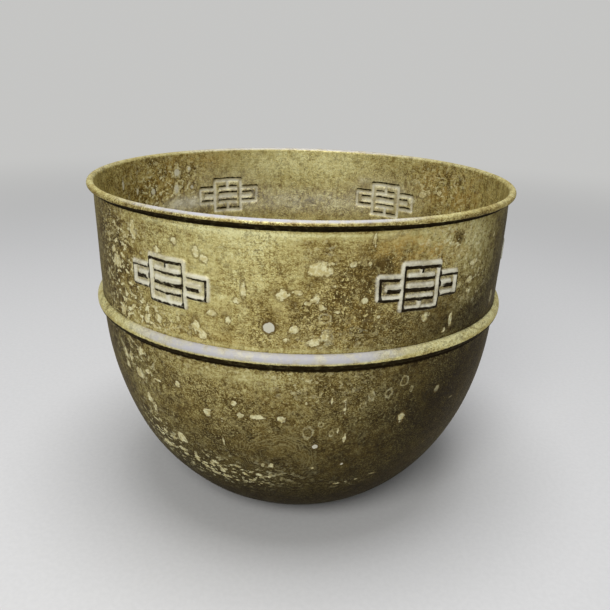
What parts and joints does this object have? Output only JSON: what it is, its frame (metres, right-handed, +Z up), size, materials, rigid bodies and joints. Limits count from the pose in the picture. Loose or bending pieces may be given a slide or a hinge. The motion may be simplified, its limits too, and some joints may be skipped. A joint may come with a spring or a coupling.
{
  "type": "jardiniere",
  "caption": "Round brass plant-pot holder: deep bowl with flat base, half-round belt, slightly flared collar with pressed geometric motifs and a rolled rim.",
  "frame": {"origin": "centre of the flat base, on the surface that the jardiniere stands on", "axes": "+Z up along the vessel's axis; -Y is the side that faces the viewer in the picture; a motif stands 29 degrees from -Y towards +X"},
  "size_m": [0.254, 0.254, 0.1985],
  "materials": {
    "aged_brass": "aged, olive-brown patina with pale lime spots",
    "iron_wire": "dark, drawn",
    "soft_solder": "dull grey"
  },
  "bodies": {
    "root": {"bowl": "aged_brass", "collar": "aged_brass", "belt_hoop": "aged_brass", "rim_wire": "iron_wire", "lap_solder": "soft_solder"}
  },
  "joints": []
}
